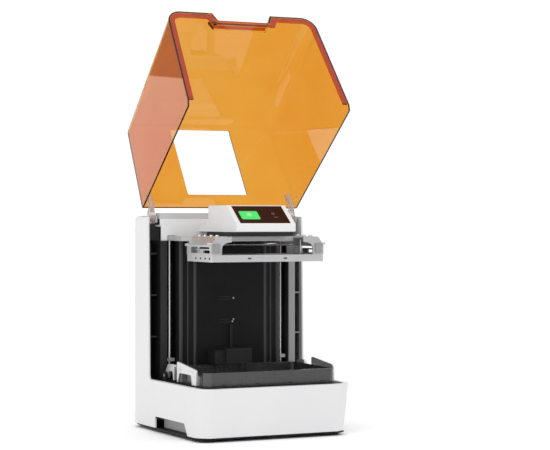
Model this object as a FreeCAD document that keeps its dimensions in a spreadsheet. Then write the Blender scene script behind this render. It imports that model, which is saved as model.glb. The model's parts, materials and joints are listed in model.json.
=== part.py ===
"""Desktop resin printer with a hinged see-through lid, modelled as separate pieces.

Frame: X to the right, Y to the back, Z up, millimetres.  The origin is on the table,
under the middle of the printer's box with the lid open.  The pieces are drawn about the
build axis, the upright line through the middle of the exposure screen, and moved there
at the end.  The build plate is at the top of its travel.
"""
import FreeCAD, Part
import math
import os
from collections import namedtuple
from types import SimpleNamespace

import Sketcher
from FreeCAD import Placement, Rotation, Vector

# ---------------------------------------------------------------- driving dimensions
# alias, value, meaning.  Lengths in mm, angles in degrees.
DIMENSIONS = """
base_width     316    width of the base and the column at the rear
front_width    293.8  width of the base at its front top edge
side_draft     2.8    how far the base sides lean in from top to bottom
base_front     101.4  build axis to the front top edge of the base
front_rake     14.7   how far the base front leans in from top to bottom
base_top       94.4   table to the base rim
base_bottom    8      table to the lower edge of the casing
base_corner    28     plan radius of the front corners
column_gap     123    build axis to the front edge of the column
column_depth   100    depth of the column
column_top     395    table to the top of the column
column_lean    5.5    how far the column's front edge leans back over its height
rear_corner    34     plan radius of the rear corners
brow           8      rounding of the column's top edges
junction       10     rounding between the base rim and the column's front edge
shell          3      wall of the casing
rim            9      width of the white rim around the deck
seal_groove    4      width of the groove for the seal
deck_thick     3      thickness of the deck sheet
gap            0.3    clearance between faces of pieces that move or drop in
fit            0.05   radial running clearance of a pin or shaft
foot_wide      32     width of a foot
foot_long      30     length of a foot
pan_thick      3      thickness of the base pan
grip_start     22     column front edge to the rear end of the hand grip
grip_long      138    length of the hand grip opening
grip_high      21     height of the hand grip opening
grip_depth     16     depth of the hand grip recess
screen_side    15     vat's side to the screen glass's edge
screen_depth   128    depth of the screen glass
screen_rise    1.2    how far the screen glass stands above the deck
optics_width   190    width of the light box's mouth
optics_depth   104    depth of the light box's mouth
lamp_width     96     width of the lamp board
lamp_depth     56     depth of the lamp board
vat_width      254    width of the vat
vat_front      72     build axis to the front of the vat
vat_rear       98     build axis to the rear of the vat
vat_high       23.9   height of the vat's wall
vat_wall       5      wall of the vat
vat_corner     14     plan radius of the vat's corners
film_thick     0.4    thickness of the release film
film_margin    8      width of the film frame beyond the screen
wing_thick     3      thickness of the side wings
wing_gap       6      gap between the vat and the wing sheet
wing_front     49     build axis to the front end of a wing
wing_rear      40     build axis to the rear end of a wing
wing_rear_top  39     height of the wing's rear end above the deck
wing_front_top 30     height of the wing's front end above the deck
wing_window    17     height of the wing's window
latch_rear     96     build axis to the latch pin
latch_reach    36     latch pin to the toe of the latch
latch_high     30     height of the latch arch above the deck
latch_thick    5      thickness of the latch
latch_pin      2.5    radius of the latch pin
shaft_radius   4      radius of the guide shafts
shaft_spread   113.2  build axis to a guide shaft, sideways
shaft_back     12     column front edge to the guide shafts
support_wide   15.5   width of a shaft support
support_high   6      height of a shaft support
support_low    126    table to the underside of the lower shaft support
slot_inner     104    build axis to the inner edge of a panel slot
slot_outer     124    build axis to the outer edge of a panel slot
panel_front    12     how far the middle of the back panel stands ahead of the column
panel_half     66     half width of the flat middle of the back panel
panel_thick    2.5    thickness of the back panel
liner_thick    3      thickness of the side liners
rib_reach      16     width of the ribs on the side liners
rib_thick      3      thickness of the ribs
frame_back     30     column front edge to the column frame
frame_thick    4      thickness of the column frame
screw_radius   5      radius of the lead screw
screw_back     19     column front edge to the lead screw
motor_size     42     side of the lift motor
beam_under     46     column top down to the underside of the top beam
beam_over      6      column top down to the top of the top beam
beam_half      133.5  half width of the top beam
cover_high     11     height of the grey strip over the beam
lid_rear_drop  11.4   column top down to the closed lid's rear top edge
lid_front_drop 18.2   column top down to the closed lid's front top edge
lid_front_rake 28.6   how far the lid's front leans back from bottom to top
lid_gap        2.4    gap between the closed lid and the column
lid_overhang   0.9    how far the lid stands out beside the column
lid_wall       3      wall of the lid
lid_corner     28     radius of the lid's front upright corners
lid_brow       34     radius of the lid's front top edge
lid_flange     9      width of the flange inside the lid's lower edge
scoop_flange   5      width of the flange where it follows the finger scoop
scoop_half     50     half width of the finger scoop
scoop_deep     18     depth of the finger scoop
scoop_high     20     height of the finger scoop
window_half    61     half width of the opening for the console
window_rear    26     column front edge to the rear of the console opening
window_front   180    column front edge to the front of the console opening
pivot_back     24.1   column front edge to the lid's pivot
pivot_drop     5.9    column top down to the lid's pivot
lid_open       127.2  opening angle of the lid
hinge_pin      3.5    radius of the hinge pins
hinge_inner    139    build axis to the inner face of a hinge arm
hinge_thick    9      thickness of a hinge arm
console_half   58     half width of the console
console_front  172    column front edge to the front of the console
console_under  29.3   column top down to the underside of the console shell
seam_drop      6.4    column top down to the console's shoulder
console_peak   18.6   column top up to the console's flat top
console_flat   126    column front edge to the start of the display slope
console_rise   43     column front edge to the rear of the raised part
lip_drop       15     column top down to the lower edge of the display slope
console_floor  7.5    thickness of the console's black floor
neck_drop      16.5   column top down to the top of the console's neck
display_wide   98.5   width of the display glass
display_long   52     length of the display glass along the slope
display_thick  1.2    thickness of the display glass
sensor_half    25.8   half width of the level sensor box
sensor_front   52     column front edge to the sensor box's front
sensor_top     149.6  table to the top of the sensor box
sensor_low     122    table to the underside of the sensor box over the vat
probe_radius   1.5    radius of the level probes
plate_width    220.6  width of the build plate
plate_depth    112    depth of the build plate
plate_drop     82.3   column top down to the build plate's underside at the top of its travel
plate_thick    12.5   thickness of the build plate
bracket_foot   21     width of a bracket's foot
bracket_head   40     width of a bracket's head
bracket_wall   3      wall of the brackets
bar_radius     2.5    radius of the hanger bar and pins
bar_half       115    build axis to the outer end of the hanger bar and pins
yoke_high      8.5    height of the yoke between the brackets
plate_gap      0.5    gap between the lowered build plate and the film
arm_wide       14     width of the carriage arms
carriage_high  23     height of the carriage behind the beam
fan_radius     30     radius of the exhaust fan's opening
vent_half      100    half width of the rear service panel
vent_low       120    table to the lower edge of the rear service panel
vent_high      210    height of the rear service panel
lever_thick    2      thickness of a release lever
lever_high     16     height of a release lever
inlet_wide     28     width of the power inlet
inlet_high     24     height of the power inlet
rocker_wide    14     width of the power rocker
rocker_high    20     height of the power rocker
"""

doc = FreeCAD.newDocument("ResinPrinter")
sheet = doc.addObject("Spreadsheet::Sheet", "Size")
rows = [line.split(None, 2) for line in DIMENSIONS.strip().splitlines()]
for row, (alias, number, meaning) in enumerate(rows, start=1):
    sheet.set(f"A{row}", meaning)
    sheet.set(f"B{row}", number)
    sheet.setAlias(f"B{row}", alias)
doc.recompute()


class Length:
    """A number together with the sheet formula that works it out."""

    def __init__(self, number, formula):
        self.number = number
        self.formula = formula

    def combine(self, other, sign, work, flip=False):
        other = length(other)
        left, right = (other, self) if flip else (self, other)
        return Length(work(left.number, right.number), f"({left.formula} {sign} {right.formula})")

    def __add__(self, other):
        return self.combine(other, "+", lambda a, b: a + b)

    def __sub__(self, other):
        return self.combine(other, "-", lambda a, b: a - b)

    def __rsub__(self, other):
        return self.combine(other, "-", lambda a, b: a - b, flip=True)

    def __mul__(self, other):
        return self.combine(other, "*", lambda a, b: a * b)

    def __truediv__(self, other):
        return self.combine(other, "/", lambda a, b: a / b)

    def __neg__(self):
        return 0 - self

    def root(self):
        return Length(self.number ** 0.5, f"sqrt({self.formula})")

    __radd__ = __add__
    __rmul__ = __mul__


def length(thing):
    """Any plain number becomes a Length that holds it as a constant."""
    return thing if isinstance(thing, Length) else Length(float(thing), f"({thing})")


def number(thing):
    return length(thing).number


d = SimpleNamespace(**{alias: Length(float(value), f"Size.{alias}") for alias, value, _ in rows})
Disc = namedtuple("Disc", "u v radius")
PLANE_SIGN = {"XY": 1, "XZ": -1, "YZ": 1}
pieces = []


def rectangle(u0, u1, v0, v1, radius=0):
    """Four corners of a rectangle, each with the same rounding."""
    return [(u0, v0, radius), (u1, v0, radius), (u1, v1, radius), (u0, v1, radius)]


def spread(side, inner, outer):
    """The low and high X of a stretch from inner to outer on the left (-1) or right (+1)."""
    return (inner, outer) if side > 0 else (-outer, -inner)


class Piece:
    """One sub-part: a PartDesign body built from pads, pockets and edge treatments."""

    def __init__(self, label, keep=True):
        self.body = doc.addObject("PartDesign::Body", label)
        self.body.Label = label
        if keep:
            pieces.append(self.body)

    def sketch(self, plane, offset, outlines):
        """Draw closed outlines on an origin plane, moved along its normal by offset."""
        support = [o for o in self.body.Origin.OriginFeatures if o.Role == f"{plane}_Plane"]
        sketch = self.body.newObject("Sketcher::SketchObject", "Sketch")
        sketch.AttachmentSupport = (support[0], [""])
        sketch.MapMode = "FlatFace"
        sketch.setExpression("AttachmentOffset.Base.z", length(offset).formula)
        for outline in outlines:
            if isinstance(outline, Disc):
                self.draw_disc(sketch, outline)
            else:
                self.draw_polygon(sketch, outline)
        return sketch

    def fix(self, sketch, kind, value, *where):
        """Add one dimension and bind it to its formula."""
        value = length(value)
        index = sketch.addConstraint(Sketcher.Constraint(kind, *where, value.number))
        sketch.setExpression(f"Constraints[{index}]", value.formula)

    def draw_disc(self, sketch, disc):
        centre = Vector(number(disc.u), number(disc.v), 0)
        circle = Part.Circle(centre, Vector(0, 0, 1), number(disc.radius))
        index = sketch.addGeometry(circle, False)
        self.fix(sketch, "DistanceX", disc.u, -1, 1, index, 3)
        self.fix(sketch, "DistanceY", disc.v, -1, 1, index, 3)
        self.fix(sketch, "Radius", disc.radius, index)

    def draw_polygon(self, sketch, points):
        """Lines through the points; a third entry in a point rounds that corner."""
        spots = [Vector(number(p[0]), number(p[1]), 0) for p in points]
        first, count = sketch.GeometryCount, len(points)
        for i, spot in enumerate(spots):
            sketch.addGeometry(Part.LineSegment(spot, spots[(i + 1) % count]), False)
        for i in range(count):
            follower = first + (i + 1) % count
            sketch.addConstraint(Sketcher.Constraint("Coincident", first + i, 2, follower, 1))
        for i, point in enumerate(points):
            self.fix(sketch, "DistanceX", point[0], -1, 1, first + i, 1)
            self.fix(sketch, "DistanceY", point[1], -1, 1, first + i, 1)
        for i, point in enumerate(points):
            if len(point) > 2 and number(point[2]) > 0:
                sketch.fillet(first + i, 1, number(point[2]), True, True)
                arcs = [k for k, g in enumerate(sketch.Geometry) if isinstance(g, Part.ArcOfCircle)]
                self.fix(sketch, "Radius", point[2], arcs[-1])

    def pad(self, plane, low, high, *outlines):
        """Add material between two coordinates along the plane's axis."""
        start = low if PLANE_SIGN[plane] > 0 else -high
        feature = self.body.newObject("PartDesign::Pad", "Pad")
        sketch = self.sketch(plane, start, outlines)
        feature.Profile = sketch
        feature.setExpression("Length", (high - length(low)).formula)
        self.body.Tip = feature
        doc.recompute()
        return self

    def pocket(self, plane, low, high, *outlines):
        """Remove material between two coordinates along the plane's axis."""
        before = self.body.Shape.Volume
        start = high if PLANE_SIGN[plane] > 0 else -length(low)
        feature = self.body.newObject("PartDesign::Pocket", "Pocket")
        sketch = self.sketch(plane, start, outlines)
        feature.Profile = sketch
        feature.setExpression("Length", (high - length(low)).formula)
        self.body.Tip = feature
        doc.recompute()
        if self.body.Shape.Volume >= before - 1e-6:
            raise RuntimeError(f"a pocket of {self.body.Label} removes nothing")
        return self

    def loft(self, kind, low, low_outline, high, high_outline):
        """Add (Additive) or remove (Subtractive) a loft between two level outlines."""
        bottom = self.sketch("XY", low, [low_outline])
        top = self.sketch("XY", high, [high_outline])
        feature = self.body.newObject(f"PartDesign::{kind}Loft", "Loft")
        feature.Profile = bottom
        feature.Sections = [top]
        feature.Ruled = True
        self.body.Tip = feature
        doc.recompute()
        return self

    def soften(self, radius, *spots, kind="Fillet"):
        """Round or bevel the edges that pass nearest to the given points."""
        base, shape = self.body.Tip, self.body.Shape
        names = set()
        for spot in spots:
            vertex = Part.Vertex(Vector(*[number(c) for c in spot]))
            reach = [edge.distToShape(vertex)[0] for edge in shape.Edges]
            names.add(f"Edge{reach.index(min(reach)) + 1}")
        feature = self.body.newObject(f"PartDesign::{kind}", kind)
        feature.Base = (base, sorted(names))
        feature.setExpression("Radius" if kind == "Fillet" else "Size", length(radius).formula)
        self.body.Tip = feature
        doc.recompute()
        return self


def block(label, x0, x1, y0, y1, z0, z1, radius=0, keep=True):
    """An upright block with rounded upright edges."""
    return Piece(label, keep).pad("XY", z0, z1, rectangle(x0, x1, y0, y1, radius))


def rod(label, plane, u, v, radius, low, high, keep=True):
    return Piece(label, keep).pad(plane, low, high, Disc(u, v, radius))


def boolean(kind, label, base, *tools):
    """A Part cut or fuse of finished bodies; the result takes the label."""
    result = base
    for index, tool in enumerate(tools):
        step = doc.addObject(f"Part::{kind}", f"{label}_step")
        step.Base, step.Tool = result, tool
        result = step
    result.Label = label
    doc.recompute()
    return result


# ---------------------------------------------------------------- shared places
half = d.base_width / 2
column_y = d.column_gap
rear_y = column_y + d.column_depth
screen_width = d.vat_width - 2 * d.screen_side
beam_low = d.column_top - d.beam_under
beam_top = d.column_top - d.beam_over
roof_rear = d.column_top - d.lid_rear_drop
roof_front = d.column_top - d.lid_front_drop
pivot_high = d.column_top - d.pivot_drop
console_low = d.column_top - d.console_under
console_seam = d.column_top - d.seam_drop
console_lip = d.column_top - d.lip_drop
console_neck = d.column_top - d.neck_drop
plate_low = d.column_top - d.plate_drop
console_top = d.column_top + d.console_peak
side_slope = (d.base_width - d.front_width) / 2 / (d.base_front + column_y)
wall_in = half - d.shell
deck_z = d.base_top
seal_floor = deck_z - d.shell
deck_under = seal_floor - d.deck_thick
screen_top = deck_z + d.screen_rise
film_low = screen_top + 0.1
film_top = film_low + d.film_thick
vat_top = film_top + d.vat_high
travel = plate_low - film_top - d.plate_gap
arm_low = d.support_low + d.support_high + 3 * d.gap + travel
shaft_y = column_y + d.shaft_back
screw_y = column_y + d.screw_back
beam_face = column_y + 0.5
shelf_z = console_neck - 3.5
pivot_y = column_y + d.pivot_back
SIDES = ((-1, "left"), (1, "right"))


def casing_outline(front, inset):
    """Plan outline of the base: straight beside the column, tapering to the front."""
    narrow = half - side_slope * (column_y - front) - inset
    corner, rounding = d.base_corner - inset, d.rear_corner - inset
    wide, back = half - inset, rear_y - inset
    return [(-wide, back, rounding), (-wide, column_y), (-narrow, front, corner),
            (narrow, front, corner), (wide, column_y), (wide, back, rounding)]


def deck_outline(inset, reach=0):
    """Plan outline of the deck area ahead of the column, its back edge moved by reach."""
    front = inset - d.base_front
    narrow = half - side_slope * (column_y - front) - inset
    wide = half - inset
    corner = d.base_corner - inset
    return [(-wide, column_y + reach), (-narrow, front, corner),
            (narrow, front, corner), (wide, column_y + reach)]


# ---------------------------------------------------------------- outer casing
# One white moulding: the tapering base with the side walls and back of the column.
lean_top = column_y + d.column_lean
base_high = d.base_top - d.base_bottom


def base_block(label, inset, low, high, keep=False):
    """The base as a solid: sides that taper and lean in, a raked front, round corners."""
    piece = Piece(label, keep)
    wide, back = half - inset, rear_y - inset
    front = inset - d.base_front
    narrow = half - side_slope * (column_y - front) - inset
    rounding = d.rear_corner - inset
    piece.pad("XY", low, high, [(-wide, back, rounding), (-wide, column_y), (-narrow, front),
                                (narrow, front), (wide, column_y), (wide, back, rounding)])
    taper = math.degrees(math.atan(number(side_slope)))
    draft = math.degrees(math.atan(number(d.side_draft / base_high)))
    for side, _ in SIDES:
        corner = Vector(side * number(wide), number(column_y), number(d.base_top))
        turned = Rotation(Vector(0, 0, 1), -side * taper) * Rotation(Vector(0, 1, 0), side * draft)
        reach = Vector(-60 if side < 0 else 0, -400, -number(d.base_top))
        wedge = piece.body.newObject("PartDesign::SubtractiveBox", "SideDraft")
        wedge.Length, wedge.Width, wedge.Height = 60, 460, number(d.base_top)
        wedge.Placement = Placement(corner + turned.multVec(reach), turned)
        piece.body.Tip = wedge
        doc.recompute()
    rake = d.front_rake / base_high
    piece.pocket("YZ", -half, half,
                 [(front - 5, d.base_top), (front, d.base_top),
                  (front + rake * (d.base_top - low), low), (front - 5, low)])
    mid_z = (low + high) / 2
    mid_y = front + rake * (d.base_top - mid_z)
    mid_x = narrow - (d.side_draft / base_high) * (d.base_top - mid_z)
    return piece.soften(d.base_corner - inset, (mid_x, mid_y, mid_z), (-mid_x, mid_y, mid_z))


casing = base_block("outer_casing", length(0), d.base_bottom, d.base_top, keep=True)
casing.pad("XY", d.base_top, d.column_top,
           [(-half, column_y), (half, column_y), (half, rear_y, d.rear_corner),
            (-half, rear_y, d.rear_corner)])
casing.pocket("YZ", -half - 1, half + 1,
              [(column_y - 5, d.base_top), (column_y, d.base_top), (lean_top, d.column_top),
               (lean_top, d.column_top + 5), (column_y - 5, d.column_top + 5)])
casing.soften(d.brow, (0, rear_y, d.column_top), (half, column_y + 30, d.column_top),
              (-half, column_y + 30, d.column_top))

# The hollow inside, the deck opening, the hinge slots and the strip for the hinge cover.
hollow = casing.body.newObject("PartDesign::Boolean", "Hollow")
hollow.Type = "Cut"
hollow.addObjects([base_block("base_hollow", d.shell, d.base_bottom - 1, seal_floor).body])
casing.body.Tip = hollow
doc.recompute()
casing.pocket("XY", seal_floor, d.base_top, deck_outline(d.rim))
casing.pocket("XY", seal_floor, d.column_top - d.shell,
              [(-wall_in, column_y), (wall_in, column_y),
               (wall_in, rear_y - d.shell, d.rear_corner - d.shell),
               (-wall_in, rear_y - d.shell, d.rear_corner - d.shell)])
hinge_rear = pivot_y + 26
cover_rear = column_y + d.frame_back
casing.pocket("XY", d.column_top - d.shell, d.column_top,
              [(-wall_in, column_y), (wall_in, column_y), (wall_in, hinge_rear),
               (d.beam_half + 0.5, hinge_rear), (d.beam_half + 0.5, cover_rear),
               (-d.beam_half - 0.5, cover_rear), (-d.beam_half - 0.5, hinge_rear),
               (-wall_in, hinge_rear)])
casing.soften(d.junction, (half - 1.5, column_y, d.base_top), (1.5 - half, column_y, d.base_top))

# Hand grips in the lower side edges, and the openings in the back.
grip_rear, grip_front = column_y - d.grip_start, column_y - d.grip_start - d.grip_long
grip_top = d.base_bottom + d.grip_high
grip_shape = [(grip_rear, d.base_bottom), (grip_rear, grip_top, 4),
              (grip_front + 12, grip_top, 4), (grip_front, d.base_bottom)]
for side, _ in SIDES:
    casing.pocket("YZ", *spread(side, half - 24, half + 1), grip_shape)
panel_low, panel_high = d.vent_low, d.vent_low + d.vent_high
casing.pocket("XZ", rear_y - d.shell, rear_y,
              rectangle(-d.vent_half, d.vent_half, panel_low, panel_high, 6))
port_z = d.base_bottom + 37
inlet_x, rocker_x = length(92), length(58)
for x, wide, high in ((inlet_x, d.inlet_wide, d.inlet_high),
                      (rocker_x, d.rocker_wide + 3, d.rocker_high + 3)):
    casing.pocket("XZ", rear_y - 9, rear_y,
                  rectangle(x - length(wide) / 2, x + length(wide) / 2,
                            port_z - length(high) / 2, port_z + length(high) / 2, 1))

# ---------------------------------------------------------------- base pan, feet, grips
pan = Piece("base_pan")
pan.pad("XY", d.base_bottom - d.pan_thick, d.base_bottom,
        casing_outline(d.front_rake - d.base_front + 0.5, d.side_draft + 0.5))
foot_x = half - 55
for side, hand in SIDES:
    for where, y in (("front", 30 - d.base_front), ("rear", column_y + 10)):
        block(f"foot_{where}_{hand}", *spread(side, foot_x, foot_x + d.foot_wide),
              y, y + d.foot_long, 0, d.base_bottom - d.pan_thick, 6)
    outer_rear = half - d.side_draft - d.shell - 2 * d.gap - side_slope * d.grip_start
    outer_front = outer_rear - side_slope * d.grip_long
    grip = Piece(f"grip_insert_{hand}")
    grip.pad("XY", grip_top, grip_top + 2,
             [(side * outer_rear, grip_rear), (side * (outer_rear - d.grip_depth), grip_rear),
              (side * (outer_front - d.grip_depth), grip_front), (side * outer_front, grip_front)])
    grip.pad("XY", d.base_bottom, grip_top,
             [(side * (outer_rear - d.grip_depth + 2), grip_rear),
              (side * (outer_rear - d.grip_depth), grip_rear),
              (side * (outer_front - d.grip_depth), grip_front),
              (side * (outer_front - d.grip_depth + 2), grip_front)])

# ---------------------------------------------------------------- deck, seal and screen
deck = Piece("top_deck")
deck_rake = d.front_rake / base_high * (d.shell + d.deck_thick)
deck.pad("XY", deck_under, seal_floor, deck_outline(d.shell + deck_rake + d.gap))
deck.pad("XY", seal_floor, deck_z, deck_outline(d.rim + d.seal_groove))
screen = rectangle(-screen_width / 2, screen_width / 2,
                   -d.screen_depth / 2, d.screen_depth / 2, 3)
screen_recess = deck_z - 2
deck.pocket("XY", screen_recess, deck_z,
            rectangle(-screen_width / 2 - d.gap, screen_width / 2 + d.gap,
                      -d.screen_depth / 2 - d.gap, d.screen_depth / 2 + d.gap, 3))
deck.pocket("XY", deck_under, screen_recess,
            rectangle(6 - screen_width / 2, screen_width / 2 - 6,
                      6 - d.screen_depth / 2, d.screen_depth / 2 - 6, 3))
seal = Piece("lid_seal")
seal.pad("XY", seal_floor, deck_z - 0.5, deck_outline(d.rim + 0.5, -1))
seal.pocket("XY", seal_floor, deck_z - 0.5, deck_outline(d.rim + d.seal_groove - 0.5, 1))
Piece("screen_glass").pad("XY", screen_recess, screen_top, screen)

# ---------------------------------------------------------------- light engine
lamp_top = d.base_bottom + 24
sink = block("lamp_module", -d.lamp_width / 2, d.lamp_width / 2, -d.lamp_depth / 2,
             d.lamp_depth / 2, d.base_bottom, lamp_top)
fin_pitch = d.lamp_width / 8
for index in range(8):
    start = fin_pitch * index - d.lamp_width / 2 + 3
    sink.pocket("XY", d.base_bottom + 4, lamp_top - 4,
                rectangle(start, start + fin_pitch - 5, -d.lamp_depth / 2, d.lamp_depth / 2))


def level_rectangle(wide, deep):
    return rectangle(-wide / 2, wide / 2, -deep / 2, deep / 2)


light_box = Piece("light_box")
light_box.loft("Additive", lamp_top, level_rectangle(d.lamp_width, d.lamp_depth),
               deck_under, level_rectangle(d.optics_width, d.optics_depth))
light_box.loft("Subtractive", lamp_top, level_rectangle(d.lamp_width - 4, d.lamp_depth - 4),
               deck_under, level_rectangle(d.optics_width - 4, d.optics_depth - 4))

# ---------------------------------------------------------------- electronics and ports
board = block("main_board", -half + 40, -26, column_y, column_y + 70, d.base_bottom,
              d.base_bottom + 2, 3)
board.pad("XY", d.base_bottom + 2, d.base_bottom + 8, rectangle(-90, -64, column_y + 20, column_y + 46))
block("power_supply", 26, half - 40, column_y, column_y + 60, d.base_bottom, d.base_bottom + 42, 2)
inlet = block("power_inlet", inlet_x - d.inlet_wide / 2 + d.gap, inlet_x + d.inlet_wide / 2 - d.gap,
              rear_y - 24, rear_y - 1, port_z - d.inlet_high / 2 + d.gap,
              port_z + d.inlet_high / 2 - d.gap)
inlet.pocket("XZ", rear_y - 18, rear_y - 1,
             rectangle(inlet_x - d.inlet_wide / 2 + 3, inlet_x + d.inlet_wide / 2 - 3,
                       port_z - d.inlet_high / 2 + 4, port_z + d.inlet_high / 2 - 4, 4))
for pin in (-7, 0, 7):
    inlet.pad("XZ", rear_y - 18, rear_y - 5,
              rectangle(inlet_x + pin - 1, inlet_x + pin + 1, port_z - 3, port_z + 3))
rocker = Piece("power_rocker")
rocker.pad("YZ", rocker_x - d.rocker_wide / 2, rocker_x + d.rocker_wide / 2,
           [(rear_y - 10, port_z - d.rocker_high / 2), (rear_y, port_z - d.rocker_high / 2 + 0.6),
            (rear_y - 1.4, port_z), (rear_y, port_z + d.rocker_high / 2 - 0.6),
            (rear_y - 10, port_z + d.rocker_high / 2)])
rocker.pad("YZ", rocker_x - d.rocker_wide / 2, rocker_x + d.rocker_wide / 2,
           Disc(rear_y - 8, port_z, 3.5))

# ---------------------------------------------------------------- rear service panel, fan
fan_x, fan_z = length(0), panel_high - 50
service = Piece("rear_panel")
service.pad("XZ", rear_y - d.shell, rear_y,
            rectangle(d.gap - d.vent_half, d.vent_half - d.gap,
                      panel_low + d.gap, panel_high - d.gap, 5.5),
            Disc(fan_x, fan_z, d.fan_radius))
for index in range(7):
    z = panel_low + 20 + 13 * index
    service.pocket("XZ", rear_y - d.shell, rear_y,
                   rectangle(25 - d.vent_half, d.vent_half - 25, z, z + 5, 2.4))
fan_front = rear_y - d.shell - 20
service.pad("XZ", fan_front, rear_y - d.shell,
            rectangle(fan_x - d.fan_radius - 5, fan_x + d.fan_radius + 5,
                      fan_z - d.fan_radius - 5, fan_z + d.fan_radius + 5, 5),
            Disc(fan_x, fan_z, d.fan_radius))
rotor = rod("fan_rotor", "XZ", fan_x, fan_z, d.fan_radius * 0.4, fan_front + 4, fan_front + 17)
for index in range(7):
    cos, sin = math.cos(math.radians(360 / 7 * index)), math.sin(math.radians(360 / 7 * index))
    blade = [(d.fan_radius * 0.3, -2), (d.fan_radius - 1.5, -6), (d.fan_radius - 1.5, 1),
             (d.fan_radius * 0.3, 2)]
    rotor.pad("XZ", fan_front + 6, fan_front + 15,
              [(fan_x + cos * length(u) - sin * length(v), fan_z + sin * length(u) + cos * length(v))
               for u, v in blade])

# ---------------------------------------------------------------- column inside
# The folded black panel leaves a slot on each side, where the carriage arms come through.
panel_y = column_y - d.panel_front
step_y = panel_y + 4
turn = d.slot_inner
edge = d.slot_inner - d.panel_thick
wide = d.panel_half + 14
front_line = [(-turn, column_y + 5), (-turn, step_y), (-wide, step_y), (-d.panel_half, panel_y),
              (d.panel_half, panel_y), (wide, step_y), (turn, step_y), (turn, column_y + 5)]
back_line = [(edge, column_y + 5), (edge, step_y + d.panel_thick), (wide, step_y + d.panel_thick),
             (d.panel_half, panel_y + d.panel_thick), (-d.panel_half, panel_y + d.panel_thick),
             (-wide, step_y + d.panel_thick), (-edge, step_y + d.panel_thick),
             (-edge, column_y + 5)]
Piece("back_panel").pad("XY", deck_z, beam_low, front_line + back_line)

# Side liners: a front strip, the walls of a recess and three ribs.
strip_y = column_y - 5
recess_x = d.slot_outer + 13
recess_y = column_y + 46
wall_x = wall_in - d.gap
for side, hand in SIDES:
    liner = Piece(f"side_liner_{hand}")
    plan = [(d.slot_outer, strip_y), (recess_x, strip_y), (recess_x, recess_y - d.liner_thick),
            (wall_x - d.liner_thick, recess_y - d.liner_thick),
            (wall_x - d.liner_thick, column_y + 6), (wall_x, column_y + 6), (wall_x, recess_y),
            (recess_x - d.liner_thick, recess_y), (recess_x - d.liner_thick, strip_y + d.liner_thick),
            (d.slot_outer, strip_y + d.liner_thick)]
    liner.pad("XY", deck_z, beam_low, [(side * x, y) for x, y in plan])
    for share in (0.3, 0.6, 0.9):
        z = deck_z + share * (beam_low - deck_z)
        liner.pad("XY", z, z + d.rib_thick,
                  rectangle(*spread(side, wall_x - d.liner_thick - d.rib_reach + 4,
                                    wall_x - d.liner_thick + 1), column_y + 6, recess_y - 1))

# Lift: frame, shafts, supports, motor and screw.
motor_top = deck_z - 6
frame_y = column_y + d.frame_back
Piece("lift_motor").pad("XY", d.base_bottom, motor_top,
                        rectangle(-d.motor_size / 2, d.motor_size / 2,
                                  screw_y - d.motor_size / 2, screw_y + d.motor_size / 2, 4))
Piece("column_frame").pad("XZ", frame_y, frame_y + d.frame_thick,
                          rectangle(-d.slot_outer, d.slot_outer, motor_top, shelf_z + 3))
for side, hand in SIDES:
    x = side * d.shaft_spread
    rod(f"guide_shaft_{hand}", "XY", x, shaft_y, d.shaft_radius, deck_z + 6, shelf_z)
    support = block(f"shaft_support_{hand}", x - d.support_wide / 2, x + d.support_wide / 2,
                    shaft_y - 9, frame_y, d.support_low, d.support_low + d.support_high, 1)
    support.pocket("XY", d.support_low, d.support_low + d.support_high,
                   Disc(x, shaft_y, d.shaft_radius + 0.02))
coupler_top = deck_z + 14
screw = rod("lead_screw", "XY", 0, screw_y, d.screw_radius, motor_top + 0.5, shelf_z - 1)
screw.pad("XY", motor_top + 0.5, coupler_top, Disc(0, screw_y, d.screw_radius + 5))

# ---------------------------------------------------------------- top beam and hinge cover
beam = Piece("top_beam")
cover_y = column_y + 6
beam.pad("YZ", -d.beam_half, d.beam_half,
         [(beam_face, beam_low), (beam_face, shelf_z + 3), (cover_y, shelf_z + 3),
          (cover_y, beam_top), (cover_y + 3, beam_top), (cover_y + 3, shelf_z + 3),
          (frame_y - d.gap, shelf_z + 3), (frame_y - d.gap, shelf_z), (beam_face + 2.8, shelf_z),
          (beam_face + 2.8, beam_low)])
arm_half = d.arm_wide / 2
for side, _ in SIDES:
    beam.pocket("XZ", beam_face, beam_face + 2.8,
                rectangle(*spread(side, d.shaft_spread - arm_half - 1, d.shaft_spread + arm_half + 1),
                          beam_low, arm_low + d.yoke_high + 1))
cover_z = beam_top + d.cover_high
block("hinge_cover", -d.beam_half, d.beam_half, cover_y, cover_rear, beam_top, cover_z)

# ---------------------------------------------------------------- console
console_y = column_y - d.console_front
slope_y = column_y - d.console_flat
top_y = column_y - d.console_rise
neck_y = column_y - d.window_rear - 4
slope_long = ((slope_y - console_y) * (slope_y - console_y)
              + (console_top - console_lip) * (console_top - console_lip)).root()
along_y = (slope_y - console_y) / slope_long
along_z = (console_top - console_lip) / slope_long


def on_slope(run, depth):
    """A point of the display slope: run up from its lower edge, depth below its face."""
    return (console_y + run * along_y + depth * along_z, console_lip + run * along_z - depth * along_y)


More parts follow.
